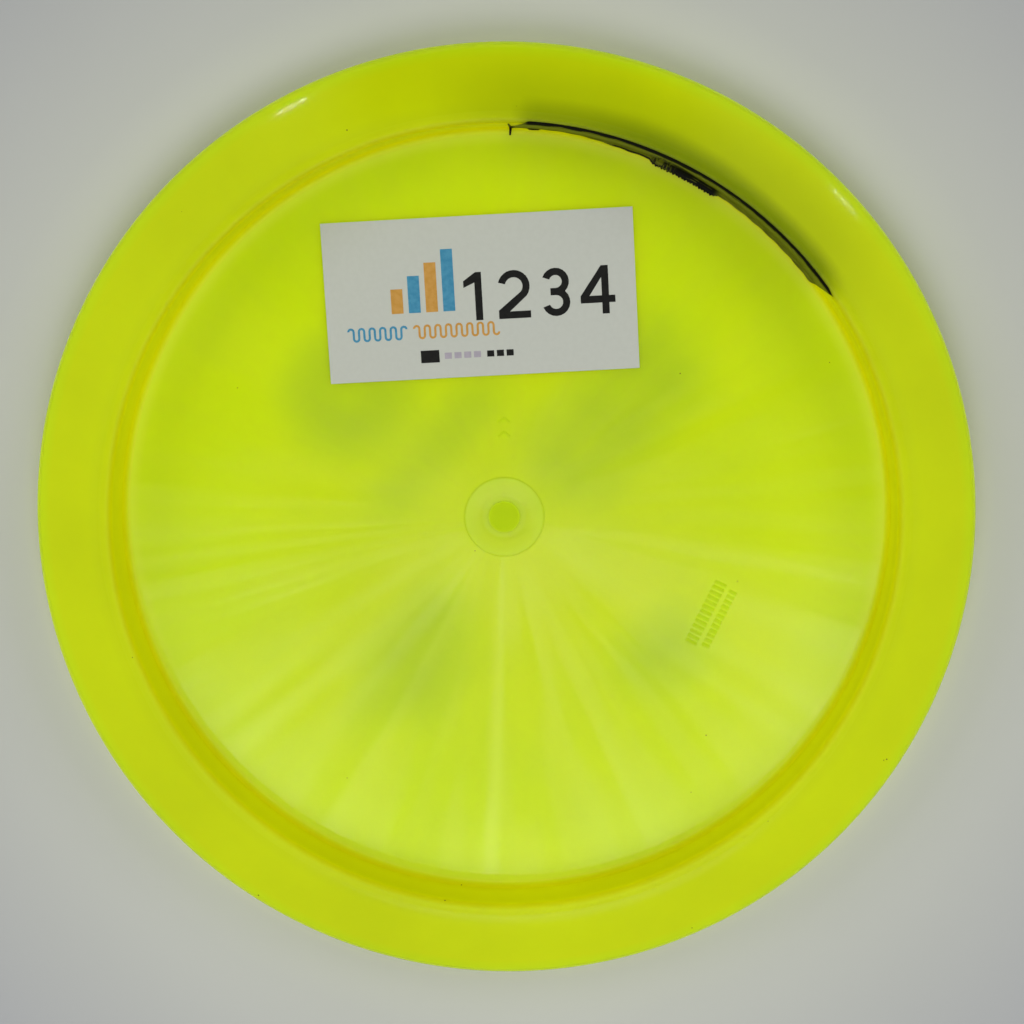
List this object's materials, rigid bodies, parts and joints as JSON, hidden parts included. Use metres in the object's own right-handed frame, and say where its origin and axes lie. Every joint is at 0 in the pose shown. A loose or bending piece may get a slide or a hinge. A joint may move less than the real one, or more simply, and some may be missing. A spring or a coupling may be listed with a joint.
{
  "type": "flying disc",
  "caption": "Wide-rimmed throwing disc for disc golf, lying cavity up: a thin flight plate inside a wedge-shaped rim, with stamp foil, marker ink and a printed label.",
  "frame": {"origin": "on the disc's axis, on the flat middle of the crown that it lies on", "axes": "+Z up along the disc's axis, out of the cavity; +X to the right and +Y up as the label reads, within a few degrees"},
  "size_m": [0.211, 0.211, 0.015],
  "materials": {
    "disc_plastic": "glossy, translucent, fluorescent yellow-green",
    "stamp_foil": "smooth dark foil",
    "marker_ink": "streaky translucent black",
    "label_glue": "clear, slightly yellow",
    "label_paper": "plain matt white",
    "ink_black": "matt toner",
    "ink_blue": "matt toner",
    "ink_orange": "matt toner",
    "ink_grey": "matt toner"
  },
  "bodies": {
    "root": {"disc_moulding": "disc_plastic", "crown_foil": "stamp_foil", "marker_ink": "marker_ink", "label_adhesive": "label_glue", "label_paper": "label_paper", "print_black": "ink_black", "print_blue": "ink_blue", "print_orange": "ink_orange", "print_grey": "ink_grey"}
  },
  "joints": []
}
